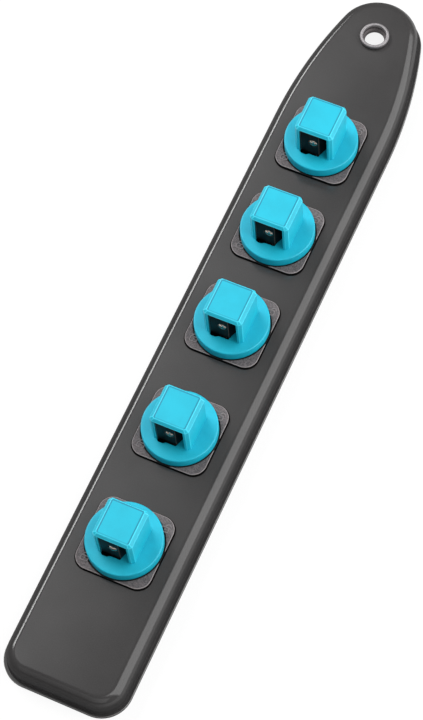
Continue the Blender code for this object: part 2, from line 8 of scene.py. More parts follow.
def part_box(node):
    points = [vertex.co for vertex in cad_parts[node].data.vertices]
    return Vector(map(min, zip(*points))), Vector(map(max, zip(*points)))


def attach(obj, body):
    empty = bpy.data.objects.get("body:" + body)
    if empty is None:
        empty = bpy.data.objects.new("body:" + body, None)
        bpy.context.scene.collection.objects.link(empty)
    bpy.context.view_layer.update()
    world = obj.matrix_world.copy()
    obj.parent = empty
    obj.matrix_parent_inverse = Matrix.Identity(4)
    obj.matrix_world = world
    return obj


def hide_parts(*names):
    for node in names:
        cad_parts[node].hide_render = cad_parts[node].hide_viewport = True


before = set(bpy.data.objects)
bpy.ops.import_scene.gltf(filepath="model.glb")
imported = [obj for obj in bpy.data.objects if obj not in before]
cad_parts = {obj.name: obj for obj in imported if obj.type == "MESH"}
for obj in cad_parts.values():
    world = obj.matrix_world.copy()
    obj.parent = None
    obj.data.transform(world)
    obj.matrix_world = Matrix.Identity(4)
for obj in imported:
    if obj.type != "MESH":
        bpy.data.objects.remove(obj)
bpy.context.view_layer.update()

MM = 0.001

# Places of the five holders along the rail, from the head down
HOLDERS = [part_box(f"pivot_screw_{n}") for n in range(1, 6)]
HOLDER_Y = [(low[1] + high[1]) / 2 for low, high in HOLDERS]

# Heights above the bench
RAIL_TOP = 8.5 * MM
CAVITY_TOP = 7.3 * MM
PLATE_BOTTOM = 8.8 * MM
PLATE_TOP = 9.5 * MM
POCKET_FLOOR = 9.0 * MM
HUB_BOTTOM = 3.2 * MM
HUB_FLOOR_TOP = 6.0 * MM
DISC_BOTTOM = 9.3 * MM
DISC_TOP = 12.85 * MM
WEB_BOTTOM = 11.25 * MM
HOOD_TOP = 25.55 * MM
HOOD_CEILING = 24.25 * MM
BALL_Y = -4.75 * MM

# Hoods
HOOD_HALF = 6.3 * MM
HOOD_CHAMFER = 0.9 * MM
ROOM_HALF = 4.55 * MM

# Ball
BALL_RADIUS = 1.8 * MM
BALL_Z = 19.2 * MM

# Rail
RAIL_HALF = 19.9 * MM
RAIL_NEAR = -126.1 * MM
RAIL_TIP = 126.1 * MM
NEAR_CORNER = 9.2 * MM
HEAD_SIDE = 148.5 * MM
HEAD_TIP = 14.4 * MM
SHOULDER = 3.1 * MM
WALL_LEAN = 0.4 * MM
EYELET_Y = 109.9 * MM
COVER_SCREWS = [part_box(f"cover_screw_{n}") for n in range(1, 7)]

TURN = 2 * math.pi
UP = Vector((0, 0, 1))
HAIR = 0.001 * MM


# Shape tools

def line(bm, points):
    """A chain of edges through a few points."""
    verts = [bm.verts.new(point) for point in points]
    for first, second in zip(verts, verts[1:]):
        bm.edges.new((first, second))
    return verts


def step_in(bm, face, inward, upward):
    """A ring of faces round a flat face, which moves inward and along its normal."""
    ring = bmesh.ops.inset_region(bm, faces=[face], thickness=inward, depth=upward,
                                  use_boundary=True, use_even_offset=True)
    return ring["faces"]


def corner_steps(bm, face, run, rise, steps):
    """A quarter round in steps, from an upright wall to the flat face."""
    faces = []
    for step in range(1, steps + 1):
        before, after = (math.pi / 2 * (step - 1) / steps, math.pi / 2 * step / steps)
        inward = run * (math.cos(before) - math.cos(after))
        faces += step_in(bm, face, inward, rise * (math.sin(after) - math.sin(before)))
    return faces


def tidy(bm, merge=2 * HAIR):
    """Merges doubles and turns every face outward."""
    bmesh.ops.remove_doubles(bm, verts=bm.verts, dist=merge)
    bmesh.ops.dissolve_degenerate(bm, dist=merge / 2, edges=bm.edges)
    bmesh.ops.recalc_face_normals(bm, faces=bm.faces)
    return bm


def with_marks(bm):
    """Gives a bmesh the face layers for painted light and shade, and for the gloss that each face keeps
    (sheen). They come before any face is picked.
    """
    for name in ("painted_light", "sheen"):
        if bm.faces.layers.float.get(name) is None:
            bm.faces.layers.float.new(name)
    return bm


def paint_light_on(bm, faces, share=1.0):
    """Marks faces for painted light: the materials paint them paler as a painted highlight, or darker as
    painted shade where the share is below zero.
    """
    layer = bm.faces.layers.float.get("painted_light")
    for face in faces:
        face[layer] = share


def soften(bm, width, segments, angle=30, sharp=()):
    """Rounds edges that turn outward by more than an angle, and marks a painted highlight on them. Some can
    stay sharp.
    """
    limit = math.radians(angle)
    with_marks(bm)
    edges = [e for e in bm.edges if e.calc_face_angle(0) > limit and e.is_convex and e not in sharp]
    rounded = bmesh.ops.bevel(bm, geom=edges, offset=width, segments=segments, profile=0.5,
                              affect="EDGES", material=-1, clamp_overlap=False, loop_slide=True)
    paint_light_on(bm, rounded["faces"])
    return bm


def turned(points, rounds=(), steps=96, segments=4):
    """A ring or solid of revolution from a closed outline of (radius, height) points.

    Each pair in rounds is a corner's number and the radius that it gets."""
    bm = bmesh.new()
    verts = line(bm, [(radius, 0, height) for radius, height in points])
    bm.edges.new((verts[-1], verts[0]))
    for number, radius in rounds:
        bmesh.ops.bevel(bm, geom=[verts[number]], offset=radius, segments=segments, profile=0.5,
                        affect="VERTICES", material=-1, offset_type="OFFSET")
    bmesh.ops.spin(bm, geom=bm.verts[:] + bm.edges[:], cent=(0, 0, 0), axis=UP, dvec=(0, 0, 0),
                   angle=TURN, steps=steps, use_merge=True, use_duplicate=False)
    return tidy(bm)


def prism(points, low, high):
    """A straight solid over a flat outline of a few points."""
    bm = bmesh.new()
    verts = [bm.verts.new((x, y, low)) for x, y in points]
    face = bm.faces.new(verts)
    grown = bmesh.ops.extrude_face_region(bm, geom=[face])
    tops = [v for v in grown["geom"] if isinstance(v, bmesh.types.BMVert)]
    bmesh.ops.translate(bm, verts=tops, vec=(0, 0, high - low))
    return tidy(bm)


def block(low, high):
    """A box between two corners."""
    bm = bmesh.new()
    bmesh.ops.create_cube(bm, size=1)
    size = Vector(high) - Vector(low)
    bmesh.ops.scale(bm, verts=bm.verts, vec=size)
    bmesh.ops.translate(bm, verts=bm.verts, vec=(Vector(high) + Vector(low)) / 2)
    return bm


def drum(radius, low, high, steps=96, centre=(0, 0)):
    """A round solid on an upright axis."""
    bm = bmesh.new()
    bmesh.ops.create_cone(bm, cap_ends=True, segments=steps, radius1=radius, radius2=radius,
                          depth=high - low)
    bmesh.ops.translate(bm, verts=bm.verts, vec=(*centre, (low + high) / 2))
    return bm


def upright(bm):
    """Edges that run along the height."""
    return [e for e in bm.edges if abs((e.verts[0].co - e.verts[1].co).normalized().z) > 0.99]


def level(bm, height):
    """Edges that lie flat at a height."""
    return [e for e in bm.edges if all(abs(v.co.z - height) < HAIR for v in e.verts)]


def round_off(bm, edges, width, segments):
    """Rounds chosen edges."""
    bmesh.ops.bevel(bm, geom=edges, offset=width, segments=segments, profile=0.5,
                    affect="EDGES", material=-1, clamp_overlap=True)
    return bm


def add_mesh(bm, other):
    """Moves another bmesh's shape into this one."""
    mesh = bpy.data.meshes.new("part")
    other.to_mesh(mesh)
    other.free()
    bm.from_mesh(mesh)
    bpy.data.meshes.remove(mesh)


def as_object(bm, name="tool"):
    """Turns a bmesh into a linked object."""
    mesh = bpy.data.meshes.new(name)
    bm.to_mesh(mesh)
    bm.free()
    made = bpy.data.objects.new(name, mesh)
    bpy.context.collection.objects.link(made)
    return made


def joined(body, adds=(), cuts=()):
    """One closed bmesh from a body with shapes added to it and then cut from it."""
    base = as_object(body)
    tools = []
    for shapes, operation in ((adds, "UNION"), (cuts, "DIFFERENCE")):
        for shape in shapes:
            tool = as_object(shape)
            tools.append(tool)
            step = base.modifiers.new("step", "BOOLEAN")
            step.operation = operation
            step.solver = "EXACT"
            step.object = tool
    bpy.context.view_layer.update()
    graph = bpy.context.evaluated_depsgraph_get()
    mesh = bpy.data.meshes.new_from_object(base.evaluated_get(graph), depsgraph=graph)
    bm = bmesh.new()
    bm.from_mesh(mesh)
    for spent in [base, *tools]:
        data = spent.data
        bpy.data.objects.remove(spent, do_unlink=True)
        bpy.data.meshes.remove(data)
    bpy.data.meshes.remove(mesh)
    return tidy(bm)


def piece(name, bm, body, finish, nodes, place=(0, 0, 0), smooth_angle=35):
    """A finished piece of the object, which stands for its CAD nodes and rides on their body."""
    copy = bm.copy()
    bmesh.ops.translate(copy, verts=copy.verts, vec=place)
    made = as_object(copy, name)
    made.data.materials.append(finish)
    made.data.shade_smooth()
    made.data.set_sharp_from_angle(angle=math.radians(smooth_angle))
    weigh = made.modifiers.new("flat_faces_lead", "WEIGHTED_NORMAL")
    weigh.keep_sharp = True
    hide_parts(*nodes)
    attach(made, body)
    return made


# Shader tools

class Level:
    """A number that varies over a surface. Sums on it add Math nodes."""

    def __init__(self, finish, socket):
        self.finish = finish
        self.socket = socket

    def _sum(self, operation, *values):
        made = self.finish.node("ShaderNodeMath", {"operation": operation}, dict(enumerate(values)))
        return Level(self.finish, made.outputs[0])

    def __add__(self, other):
        return self._sum("ADD", self, other)

    def __radd__(self, other):
        return self._sum("ADD", other, self)

    def __sub__(self, other):
        return self._sum("SUBTRACT", self, other)

    def __rsub__(self, other):
        return self._sum("SUBTRACT", other, self)

    def __mul__(self, other):
        return self._sum("MULTIPLY", self, other)

    def __rmul__(self, other):
        return self._sum("MULTIPLY", other, self)

    def between(self, low, high):
        """0 below low and 1 above high, with a smooth step between them."""
        made = self.finish.node("ShaderNodeMapRange", {"interpolation_type": "SMOOTHSTEP"},
                                {"Value": self, "From Min": low, "From Max": high})
        return Level(self.finish, made.outputs["Result"])


class Finish:
    """A material under construction."""

    def __init__(self, name, **constants):
        self.material = bpy.data.materials.new(name)
        self.material.use_nodes = True
        self.tree = self.material.node_tree
        self.shader = self.tree.nodes["Principled BSDF"]
        for socket, value in constants.items():
            self.shader.inputs[socket.replace("_", " ")].default_value = value

    def feed(self, socket, value):
        """A constant or a link for one socket."""
        if isinstance(value, Level):
            value = value.socket
        if isinstance(value, bpy.types.NodeSocket):
            self.tree.links.new(value, socket)
        else:
            socket.default_value = value

    def node(self, kind, settings=None, sockets=None):
        """A node with its settings made first, then its sockets."""
        made = self.tree.nodes.new(kind)
        for key, value in (settings or {}).items():
            setattr(made, key, value)
        for key, value in (sockets or {}).items():
            self.feed(made.inputs[key], value)
        return made

    def place(self):
        """Object coordinates, in metres."""
        return self.node("ShaderNodeTexCoord").outputs["Object"]

    def stretched(self, place, scale):
        """The coordinates with their own scale on each axis."""
        return self.node("ShaderNodeMapping", None, {"Vector": place, "Scale": scale}).outputs["Vector"]

    def noise(self, place, size, detail=2.0, roughness=0.5):
        """Cloudy noise whose features are about one size across."""
        made = self.node("ShaderNodeTexNoise", None,
                         {"Vector": place, "Scale": 1 / size, "Detail": detail, "Roughness": roughness})
        return Level(self, made.outputs["Fac"])

    def cells(self, place, size):
        """Distance to scattered points, for pits and grains."""
        made = self.node("ShaderNodeTexVoronoi", {"feature": "F1"}, {"Vector": place, "Scale": 1 / size})
        return Level(self, made.outputs["Distance"])

    def blend(self, share, first, second):
        """A colour between two colours."""
        made = self.node("ShaderNodeMix", {"data_type": "RGBA"}, {0: share, 6: first, 7: second})
        return made.outputs[2]

    def mark(self, name):
        """The share that the faces carry in one of their layers."""
        return Level(self, self.node("ShaderNodeAttribute", {"attribute_name": name}).outputs["Fac"])

    def height(self, place):
        """Height above the bench."""
        return Level(self, self.node("ShaderNodeSeparateXYZ", None, {"Vector": place}).outputs["Z"])

    def bump(self, height, distance, strength):
        """A bumped normal."""
        sockets = {"Height": height, "Distance": distance, "Strength": strength}
        return self.node("ShaderNodeBump", None, sockets).outputs["Normal"]

    def done(self, **varied):
        """Feeds what varies to the shader and hands over the material."""
        for socket, value in varied.items():
            self.feed(self.shader.inputs[socket.replace("_", " ")], value)
        return self.material


def shade(value):
    """A display grey or colour of 0 to 255 as a linear colour."""
    values = value if isinstance(value, tuple) else (value,) * 3
    linear = [((v / 255 + 0.055) / 1.055) ** 2.4 if v > 10 else v / 255 / 12.92 for v in values]
    return (*linear, 1.0)


def shades(*values):
    """Several display greys or colours as linear colours."""
    return [shade(value) for value in values]


# Materials

def rail_charcoal():
    """Satin charcoal skin with a fine moulded grain and faint clouds, duller down its wall, where its
    colour holds painted shade; a painted highlight on the flange's edge and a painted shadow round each
    plate.
    """
    f = Finish("rail_charcoal", Specular_IOR_Level=0.0, Coat_Roughness=0.15, Coat_IOR=1.5)
    dark, light, grain_light = shades((47, 46, 46), (53, 52, 52), (66, 64, 64))
    wall_painted_shade, painted_highlight, bed_painted_shadow = shades((30, 30, 31), (118, 116, 115), (14, 14, 14))
    cloud_size, grain_size, speck_size, relief = (22 * MM, 0.34 * MM, 0.5 * MM, 0.010 * MM)
    wall_low, wall_high = ((1.6 * MM, 2.6 * MM), (4.6 * MM, 6.6 * MM))
    place = f.place()
    cloud = f.noise(place, cloud_size, 3.0)
    grain = f.noise(place, grain_size, 3.0, 0.6)
    specks = f.cells(place, speck_size)
    height = f.height(place)
    painted_light = f.mark("painted_light")
    sheen = f.mark("sheen")
    # Painted shade down the wall, in a band of height between the flange and the shoulder
    wall = height.between(*wall_low) * (1 - height.between(*wall_high))
    colour = f.blend(cloud.between(0.3, 0.7), dark, light)
    colour = f.blend(0.3 * grain.between(0.35, 0.75), colour, grain_light)
    colour = f.blend(0.45 * wall, colour, wall_painted_shade)
    # Painted highlight on the flange's rounded edge, and painted contact shadow round each plate where the
    # share is below zero
    colour = f.blend(0.6 * painted_light, colour, painted_highlight)
    colour = f.blend(-1.0 * painted_light, colour, bed_painted_shadow)
    gloss = sheen + 0.5 * painted_light.between(0, 1)
    normal = f.bump(grain + 0.4 * specks, relief, 0.5)
    return f.done(Base_Color=colour, Roughness=0.45 + 0.1 * grain, Coat_Weight=gloss, Normal=normal)


def cover_black():
    """Dull black back plate with a coarse grain and a few scuffs."""
    f = Finish("cover_black")
    dark, light, scuffed = shades(44, 58, 84)
    grain_size, scuff_size, relief = (0.6 * MM, 2.2 * MM, 0.03 * MM)
    place = f.place()
    grain = f.cells(place, grain_size)
    scuff = f.noise(f.stretched(place, (1, 0.12, 1)), scuff_size, 4.0, 0.7)
    colour = f.blend(grain.between(0.1, 0.8), dark, light)
    colour = f.blend(0.5 * scuff.between(0.62, 0.8), colour, scuffed)
    return f.done(Base_Color=colour, Roughness=0.5 + 0.2 * grain, Normal=f.bump(grain, relief, 0.6))


def plate_grey():
    """Grained grey plastic with light speckles, a painted highlight on its rounded top edge and painted
    shade low on its sides.
    """
    f = Finish("plate_dark_grey", Specular_IOR_Level=0.25)
    dark, light, speckle, violet = shades((66, 63, 64), (102, 96, 97), (126, 116, 117), (92, 80, 84))
    painted_highlight, side_painted_shade = shades((158, 152, 152), 14)
    coarse_size, fine_size, tint_size, relief = (0.42 * MM, 0.17 * MM, 0.9 * MM, 0.035 * MM)
    side_from, side_to = (9.20 * MM, 9.30 * MM)
    place = f.place()
    coarse = f.noise(place, coarse_size, 2.0, 0.7)
    fine = f.noise(place, fine_size, 2.0, 0.6)
    tint = f.noise(place, tint_size, 2.0)
    light_share = f.mark("painted_light")
    colour = f.blend(coarse.between(0.32, 0.68), dark, light)
    colour = f.blend(0.6 * fine.between(0.55, 0.8), colour, speckle)
    colour = f.blend(0.35 * tint.between(0.5, 0.7), colour, violet)
    # Painted highlight on the rounded top edge and on the marks' tops
    colour = f.blend(0.6 * light_share, colour, painted_highlight)
    # Painted shade low on the sides, under the plate's edge
    colour = f.blend(1 - f.height(place).between(side_from, side_to), colour, side_painted_shade)
    normal = f.bump(coarse + 0.5 * fine, relief, 0.7)
    return f.done(Base_Color=colour, Roughness=0.48 + 0.18 * coarse, Normal=normal)


def cap_turquoise():
    """Matt turquoise plastic with a fine grain, with painted highlights on its rounded edges and a painted
    dark line of shade round the crown.
    """
    f = Finish("cap_turquoise", Specular_IOR_Level=0.4)
    dark, light, grain_light = shades((0, 157, 181), (2, 165, 189), (18, 180, 203))
    painted_highlight, crown_painted_shade = shades((70, 214, 234), (0, 120, 146))
    cloud_size, grain_size, relief = (6 * MM, 0.22 * MM, 0.014 * MM)
    place = f.place()
    cloud = f.noise(place, cloud_size, 3.0)
    grain = f.noise(place, grain_size, 3.0, 0.65)
    light_share = f.mark("painted_light")
    colour = f.blend(cloud.between(0.3, 0.7), dark, light)
    colour = f.blend(0.3 * grain.between(0.4, 0.75), colour, grain_light)
    # Painted highlight on the rounded edges, and painted shade in the line round the crown where the share
    # is below zero
    colour = f.blend(0.5 * light_share, colour, painted_highlight)
    colour = f.blend(-1.0 * light_share, colour, crown_painted_shade)
    return f.done(Base_Color=colour, Roughness=0.40 + 0.14 * grain, Normal=f.bump(grain, relief, 0.5))


def pawl_black():
    """Satin black plastic, with a brown painted reflection on its rounded edges."""
    f = Finish("pawl_black", Specular_IOR_Level=0.06)
    dark, light, edge_painted_reflection = shades((8, 7, 7), (24, 20, 18), (104, 92, 82))
    streak_size, grain_size, relief = (0.8 * MM, 0.2 * MM, 0.01 * MM)
    place = f.place()
    streak = f.noise(f.stretched(place, (1, 1, 0.2)), streak_size, 3.0, 0.6)
    grain = f.noise(place, grain_size, 2.0)
    light_share = f.mark("painted_light")
    colour = f.blend(streak.between(0.45, 0.75), dark, light)
    # Painted reflection on the rounded edges
    colour = f.blend(0.4 * light_share, colour, edge_painted_reflection)
    return f.done(Base_Color=colour, Roughness=0.32 + 0.16 * streak, Normal=f.bump(grain, relief, 0.5))


def nut_black():
    """Dull black moulding."""
    f = Finish("nut_black")
    dark, light = shades(42, 56)
    grain_size, relief = (0.5 * MM, 0.02 * MM)
    grain = f.noise(f.place(), grain_size, 3.0, 0.6)
    colour = f.blend(grain.between(0.3, 0.7), dark, light)
    return f.done(Base_Color=colour, Roughness=0.55 + 0.15 * grain, Normal=f.bump(grain, relief, 0.5))


def ball_steel():
    """Polished hard steel with faint rolling marks."""
    f = Finish("ball_steel", Metallic=1.0)
    bright, dull = shades((176, 170, 162), (142, 134, 126))
    mark_size, film_size = (0.25 * MM, 1.1 * MM)
    place = f.place()
    marks = f.noise(f.stretched(place, (1, 1, 0.15)), mark_size, 3.0, 0.7)
    film = f.noise(place, film_size, 2.0)
    return f.done(Base_Color=f.blend(film.between(0.35, 0.7), bright, dull), Roughness=0.16 + 0.12 * marks)


def screw_zinc():
    """Bright zinc on small screws and washers."""
    f = Finish("screw_zinc", Metallic=1.0)
    dull, bright = shades((190, 190, 188), (214, 212, 204))
    cloud_size, turning_size, relief = (1.2 * MM, 0.2 * MM, 0.006 * MM)
    place = f.place()
    cloud = f.noise(place, cloud_size, 4.0, 0.7)
    turning = f.noise(place, turning_size, 2.0)
    colour = f.blend(cloud.between(0.35, 0.7), dull, bright)
    return f.done(Base_Color=colour, Roughness=0.24 + 0.16 * cloud, Normal=f.bump(turning, relief, 0.4))


def eyelet_nickel():
    """Dull nickel, drawn and rolled, with painted shade down its bore."""
    f = Finish("eyelet_nickel", Metallic=1.0)
    dull, bright, drawn_grey, bore_painted_shade = shades(
        (140, 137, 139), (152, 149, 150), (142, 139, 141), (66, 60, 60))
    cloud_size, drawn_size, relief = (1.4 * MM, 0.22 * MM, 0.002 * MM)
    bore_shade_full_at, bore_shade_gone_at = (8.4 * MM, 9.6 * MM)
    place = f.place()
    cloud = f.noise(place, cloud_size, 3.0, 0.6)
    drawn = f.noise(f.stretched(place, (1, 1, 0.2)), drawn_size, 3.0, 0.6)
    below = 1 - f.height(place).between(bore_shade_full_at, bore_shade_gone_at)
    colour = f.blend(cloud.between(0.3, 0.7), dull, bright)
    colour = f.blend(0.25 * drawn.between(0.5, 0.8), colour, drawn_grey)
    # Painted shade down the bore, fading out towards the rim
    colour = f.blend(0.75 * below, colour, bore_painted_shade)
    return f.done(Base_Color=colour, Roughness=0.6 + 0.06 * drawn, Normal=f.bump(cloud, relief, 0.3))


# Pieces

def rail_outline(bm, near_steps=12, side_steps=18, tip_steps=22):
    """The rail's outline seen from above: one point that runs and turns, and its mirror image."""
    side_x = RAIL_HALF - HEAD_SIDE
    tip_y = RAIL_TIP - HEAD_TIP
    rise = math.sqrt((HEAD_SIDE - HEAD_TIP) ** 2 - side_x ** 2)
    lean = math.atan2(rise, -side_x)

    def run(vert, place):
        grown = bmesh.ops.extrude_vert_indiv(bm, verts=[vert])["verts"][0]
        grown.co = place
        return grown

    def swing(vert, centre, angle, steps):
        turned_part = bmesh.ops.spin(bm, geom=[vert], cent=(*centre, 0), axis=UP, dvec=(0, 0, 0),
                                     angle=angle, steps=steps, use_merge=False, use_duplicate=False)
        return [v for v in turned_part["geom_last"] if isinstance(v, bmesh.types.BMVert)][0]

    point = bm.verts.new((0, RAIL_NEAR, 0))
    point = run(point, (RAIL_HALF - NEAR_CORNER, RAIL_NEAR, 0))
    point = swing(point, (RAIL_HALF - NEAR_CORNER, RAIL_NEAR + NEAR_CORNER), math.pi / 2, near_steps)
    point = run(point, (RAIL_HALF, tip_y - rise, 0))
    point = swing(point, (side_x, tip_y - rise), lean, side_steps)
    swing(point, (0, tip_y), math.pi / 2 - lean, tip_steps)
    bmesh.ops.mirror(bm, geom=bm.verts[:] + bm.edges[:], matrix=Matrix(), merge_dist=HAIR, axis="X")
    bmesh.ops.remove_doubles(bm, verts=bm.verts, dist=HAIR)
    face = bmesh.ops.contextual_create(bm, geom=bm.edges[:])["faces"][0]
    if face.normal.z < 0:
        face.normal_flip()
    return face


def post(bm, centre, outline, steps):
    """An open surface of revolution about an upright axis, from (radius, height) points."""
    verts = line(bm, [(centre[0] + radius, centre[1], height) for radius, height in outline])
    edges = list({e for v in verts for e in v.link_edges})
    bmesh.ops.spin(bm, geom=verts + edges, cent=(*centre, 0), axis=UP, dvec=(0, 0, 0),
                   angle=TURN, steps=steps, use_merge=True, use_duplicate=False)


def boundary(bm, height):
    """Open edges that lie flat at a height."""
    return [e for e in level(bm, height) if len(e.link_faces) < 2]


def make_rail():
    """The hollow rail: a flange at its foot, a leaning wall, a round shoulder, and holes in its top."""
    flange, flange_round, ledge = (0.8 * MM, 0.2 * MM, 0.7 * MM)
    wall_rise = RAIL_TOP - SHOULDER - flange - flange_round
    top_ring = 0.4 * MM
    foot_width, corner, cover_depth, inner_rise = (2.1 * MM, 0.1 * MM, 1.0 * MM, 3.8 * MM)
    vault = CAVITY_TOP - cover_depth - inner_rise
    bm = with_marks(bmesh.new())
    bottom = rail_outline(bm)
    grown = bmesh.ops.extrude_face_region(bm, geom=[bottom])
    top = [f for f in grown["geom"] if isinstance(f, bmesh.types.BMFace)][0]
    bmesh.ops.translate(bm, verts=top.verts, vec=(0, 0, flange))
    top.normal_update()
    if top.normal.z < 0:
        top.normal_flip()
    # Painted highlight on the flange's rounded edge
    paint_light_on(bm, corner_steps(bm, top, flange_round, flange_round, 3))
    step_in(bm, top, ledge, 0)
    step_in(bm, top, WALL_LEAN, wall_rise)
    corner_steps(bm, top, SHOULDER, SHOULDER, 12)
    step_in(bm, top, top_ring, 0)
    bottom.normal_update()
    if bottom.normal.z > 0:
        bottom.normal_flip()
    step_in(bm, bottom, foot_width - corner, 0)
    step_in(bm, bottom, corner, -corner)
    step_in(bm, bottom, 0, -(cover_depth - corner))
    step_in(bm, bottom, WALL_LEAN, -inner_rise)
    corner_steps(bm, bottom, SHOULDER, -vault, 6)
    bmesh.ops.delete(bm, geom=[top, bottom], context="FACES_ONLY")
    hub_hole, eyelet_hole, well, well_wall = (11.5 * MM, 4.5 * MM, 8.0 * MM, 9.2 * MM)
    bore, boss, foot, bore_top = (1.2 * MM, 2.6 * MM, 1.3 * MM, 5.6 * MM)
    # Outlines of the painted contact shadow round each plate
    for y in HOLDER_Y:
        plate_shadow_outline(bm, y)
    post(bm, (0, EYELET_Y), ((eyelet_hole, RAIL_TOP), (eyelet_hole, CAVITY_TOP), (well, CAVITY_TOP),
                             (well, foot), (well_wall, foot), (well_wall, CAVITY_TOP)), 48)
    screw_boss = ((0, bore_top), (bore, bore_top), (bore, foot), (boss, foot), (boss, CAVITY_TOP))
    for low, high in COVER_SCREWS:
        post(bm, ((low[0] + high[0]) / 2, (low[1] + high[1]) / 2), screw_boss, 24)
    fill_level(bm, RAIL_TOP)
    for y in HOLDER_Y:
        post(bm, (0, y), ((hub_hole, RAIL_TOP), (hub_hole, CAVITY_TOP)), 72)
    # Painted contact shadow round and under each plate, between its outline and the hub hole
    paint_light_on(bm, fill_level(bm, RAIL_TOP), -1.0)
    fill_level(bm, CAVITY_TOP)
    tidy(bm)
    painted_light, sheen = (bm.faces.layers.float.get(name) for name in ("painted_light", "sheen"))
    for face in bm.faces:
        # No gloss on faces with painted shade
        face[sheen] = rail_sheen(face.normal) if face[painted_light] >= 0 else 0.0
    return bm


def fill_level(bm, height):
    """Fills what lies between the open edges at a height."""
    made = bmesh.ops.triangle_fill(bm, use_beauty=True, use_dissolve=False,
                                   edges=boundary(bm, height), normal=UP)
    return [part for part in made["geom"] if isinstance(part, bmesh.types.BMFace)]


def plate_shadow_outline(bm, y):
    """The outline of the painted contact shadow round a plate, a little wider than the plate."""
    half, corner = (12.2 * MM, 4.5 * MM)
    sides = ((-1, -1), (1, -1), (1, 1), (-1, 1))
    verts = line(bm, [(x * half, y + side * half, RAIL_TOP) for x, side in sides])
    bm.edges.new((verts[-1], verts[0]))
    bmesh.ops.bevel(bm, geom=verts, offset=corner, segments=8, profile=0.5, affect="VERTICES",
                    material=-1, offset_type="OFFSET")


def rail_sheen(normal, wall=0.08, light_share=0.2):
    """The gloss that a face keeps: all on top, less down the left shoulder and near the foot."""
    flat, shoulder_end, foot_start, foot_end, upright_from = (4, 28, 45, 70, 75)
    lean = math.degrees(normal.angle(UP))
    if lean > upright_from:
        return wall
    if lean < flat:
        return 1.0
    right = normal.x / math.hypot(normal.x, normal.y)
    kept = min(max((right + 0.1) / 0.9, 0.0), 1.0)
    steep = min((lean - flat) / (shoulder_end - flat), 1.0)
    low = min(max((lean - foot_start) / (foot_end - foot_start), 0.0), 1.0)
    return (1 - steep * (1 - light_share) * (1 - kept)) * (1 - 0.6 * low)


def make_eyelet():
    """The pressed eyelet: a rolled rim, a stepped bore and a flared foot."""
    barrel, rim, mouth, throat, flare = (r * MM for r in (4.2, 4.7, 3.65, 3.12, 5.3))
    rim_bottom, rim_top, step_top, step_bottom = (h * MM for h in (8.8, 10.0, 8.3, 7.9))
    foot_top, foot_bottom = (7.0 * MM, 6.4 * MM)
    outline = [(barrel, rim_bottom), (rim, rim_bottom), (rim, rim_top), (mouth, rim_top), (mouth, step_top),
               (throat, step_bottom), (throat, foot_bottom), (flare, foot_bottom), (flare, foot_top),
               (barrel, foot_top)]
    rounds = ((2, 0.55 * MM), (3, 0.42 * MM), (6, 0.3 * MM), (7, 0.2 * MM))
    bm = turned(outline, rounds, steps=72, segments=8)
    bmesh.ops.translate(bm, verts=bm.verts, vec=(0, EYELET_Y, 0))
    return bm


def padlock_mark(open_shackle):
    """A small raised outline of a padlock: a ring for its body, a bow over it, and a keyhole bar."""
    sunk, raised, stroke = (0.05 * MM, 0.14 * MM, 0.3 * MM)
    base = PLATE_TOP - sunk
    top = PLATE_TOP + raised
    half, low, high, corner, inner_corner = (d * MM for d in (1.25, -1.3, 0.5, 0.45, 0.3))
    bow_inside, bow_outside, bow_foot, opened = (d * MM for d in (0.6, 0.92, 0.45, 0.75))
    key_half, key_low, key_high = (d * MM for d in (0.14, -0.7, -0.1))
    body = block((-half, low, base), (half, high, top))
    round_off(body, upright(body), corner, 5)
    hollow = block((stroke - half, low + stroke, base - MM), (half - stroke, high - stroke, top + MM))
    round_off(hollow, upright(hollow), inner_corner, 4)
    ring = joined(body, cuts=[hollow])
    bow = turned([(bow_inside, base), (bow_outside, base), (bow_outside, top), (bow_inside, top)], steps=32)
    bmesh.ops.translate(bow, verts=bow.verts, vec=(opened if open_shackle else 0.0, high, 0))
    below = block((-3 * MM, -3 * MM, base - MM), (3 * MM, bow_foot, top + MM))
    bow = joined(bow, cuts=[below])
    bar = block((-key_half, key_low, base), (key_half, key_high, top))
    mark = bmesh.new()
    for part in (ring, bow, bar):
        add_mesh(mark, part)
    with_marks(mark)
    # Painted highlight on the marks' tops
    paint_light_on(mark, [f for f in mark.faces if f.normal.z > 0.5], 0.4)
    return mark


